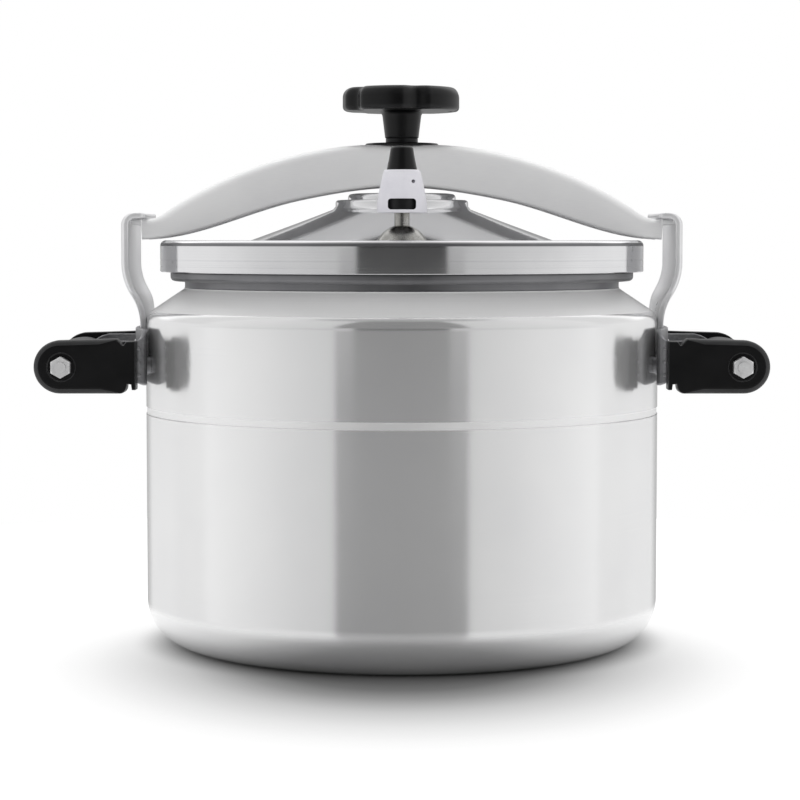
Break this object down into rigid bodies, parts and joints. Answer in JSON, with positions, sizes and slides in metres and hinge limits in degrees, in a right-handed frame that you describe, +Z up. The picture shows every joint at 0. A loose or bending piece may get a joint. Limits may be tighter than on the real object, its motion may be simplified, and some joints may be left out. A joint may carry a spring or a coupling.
{
  "type": "pressure canner",
  "caption": "Deep aluminium pressure canner with a lid clamped by a screw arch under side hooks, a weighted regulator and black side handles.",
  "frame": {"origin": "centre of the pot's flat base, on the surface it stands on", "axes": "+Z up, X along the arch and the two handles, -Y towards the regulator, which is the front"},
  "size_m": [0.3876, 0.28, 0.3031],
  "materials": {
    "pot_aluminium": "lathe-polished",
    "lid_aluminium": "bright polished",
    "polished_steel": "polished stainless steel",
    "bracket_steel": "pressed, tumbled",
    "bush_steel": "turned",
    "plated_steel": "bright plated",
    "spring_steel": "drawn wire",
    "rivet_aluminium": "cold-headed",
    "black_phenolic": "compression moulded",
    "weight_satin": "satin cast",
    "plunger_red": "moulded",
    "gasket_rubber": "moulded"
  },
  "bodies": {
    "pot": {"pot_body": "pot_aluminium", "hook_left": "polished_steel", "hook_right": "polished_steel", "bracket_left": "bracket_steel", "bracket_right": "bracket_steel", "rivets_left": "rivet_aluminium", "rivets_right": "rivet_aluminium", "spacers_left": "bracket_steel", "spacers_right": "bracket_steel", "grip_left": "black_phenolic", "grip_right": "black_phenolic", "cheek_left_front": "black_phenolic", "cheek_left_rear": "black_phenolic", "cheek_right_front": "black_phenolic", "cheek_right_rear": "black_phenolic", "tie_bolt_left": "plated_steel", "tie_bolt_right": "plated_steel", "nuts_left": "plated_steel", "nuts_right": "plated_steel"},
    "lid": {"lid_shell": "lid_aluminium", "thrust_plate": "polished_steel", "gasket": "gasket_rubber", "regulator_nozzle": "plated_steel", "nozzle_nut": "plated_steel", "safety_valve_body": "plated_steel", "safety_valve_nut": "plated_steel", "safety_spring": "spring_steel"},
    "arch": {"arch": "polished_steel", "arch_bush": "bush_steel"},
    "foot": {"pressure_foot": "plated_steel"},
    "screw": {"spindle": "plated_steel", "spindle_clip": "spring_steel", "knob": "black_phenolic", "knob_cap": "black_phenolic"},
    "jet_pin": {"regulator_pin": "plated_steel"},
    "weight": {"regulator_weight": "weight_satin", "regulator_cap": "black_phenolic"},
    "plunger": {"safety_plunger": "plunger_red"}
  },
  "joints": [
    {"name": "lid_lift", "type": "slide", "parent": "pot", "child": "lid", "axis": [0, 0, 1], "range_m": [0, 0.24]},
    {"name": "arch_swing", "type": "hinge", "parent": "lid", "child": "arch", "pos_m": [0, 0, 0.25], "axis": [0, 0, 1], "range_deg": [-50, 50]},
    {"name": "screw_travel", "type": "slide", "parent": "arch", "child": "foot", "axis": [0, 0, 1], "range_m": [0, 0.008]},
    {"name": "knob_turn", "type": "hinge", "parent": "foot", "child": "screw", "pos_m": [0, 0, 0.27], "axis": [0, 0, 1], "range_deg": [0, 1440]},
    {"name": "regulator_lift", "type": "slide", "parent": "lid", "child": "jet_pin", "axis": [0, 0, 1], "range_m": [0, 0.004]},
    {"name": "regulator_spin", "type": "hinge", "parent": "jet_pin", "child": "weight", "pos_m": [0, -0.086, 0.25], "axis": [0, 0, 1], "continuous": true},
    {"name": "safety_lift", "type": "slide", "parent": "lid", "child": "plunger", "axis": [0, 0, 1], "range_m": [0, 0.003], "stiffness_N_per_m": 2500, "springref_m": -0.004, "deforming": ["safety_spring"]}
  ],
  "couplings": [
    {"joint": "screw_travel", "follows": "knob_turn", "m_per_rad": 0.00031831}
  ]
}
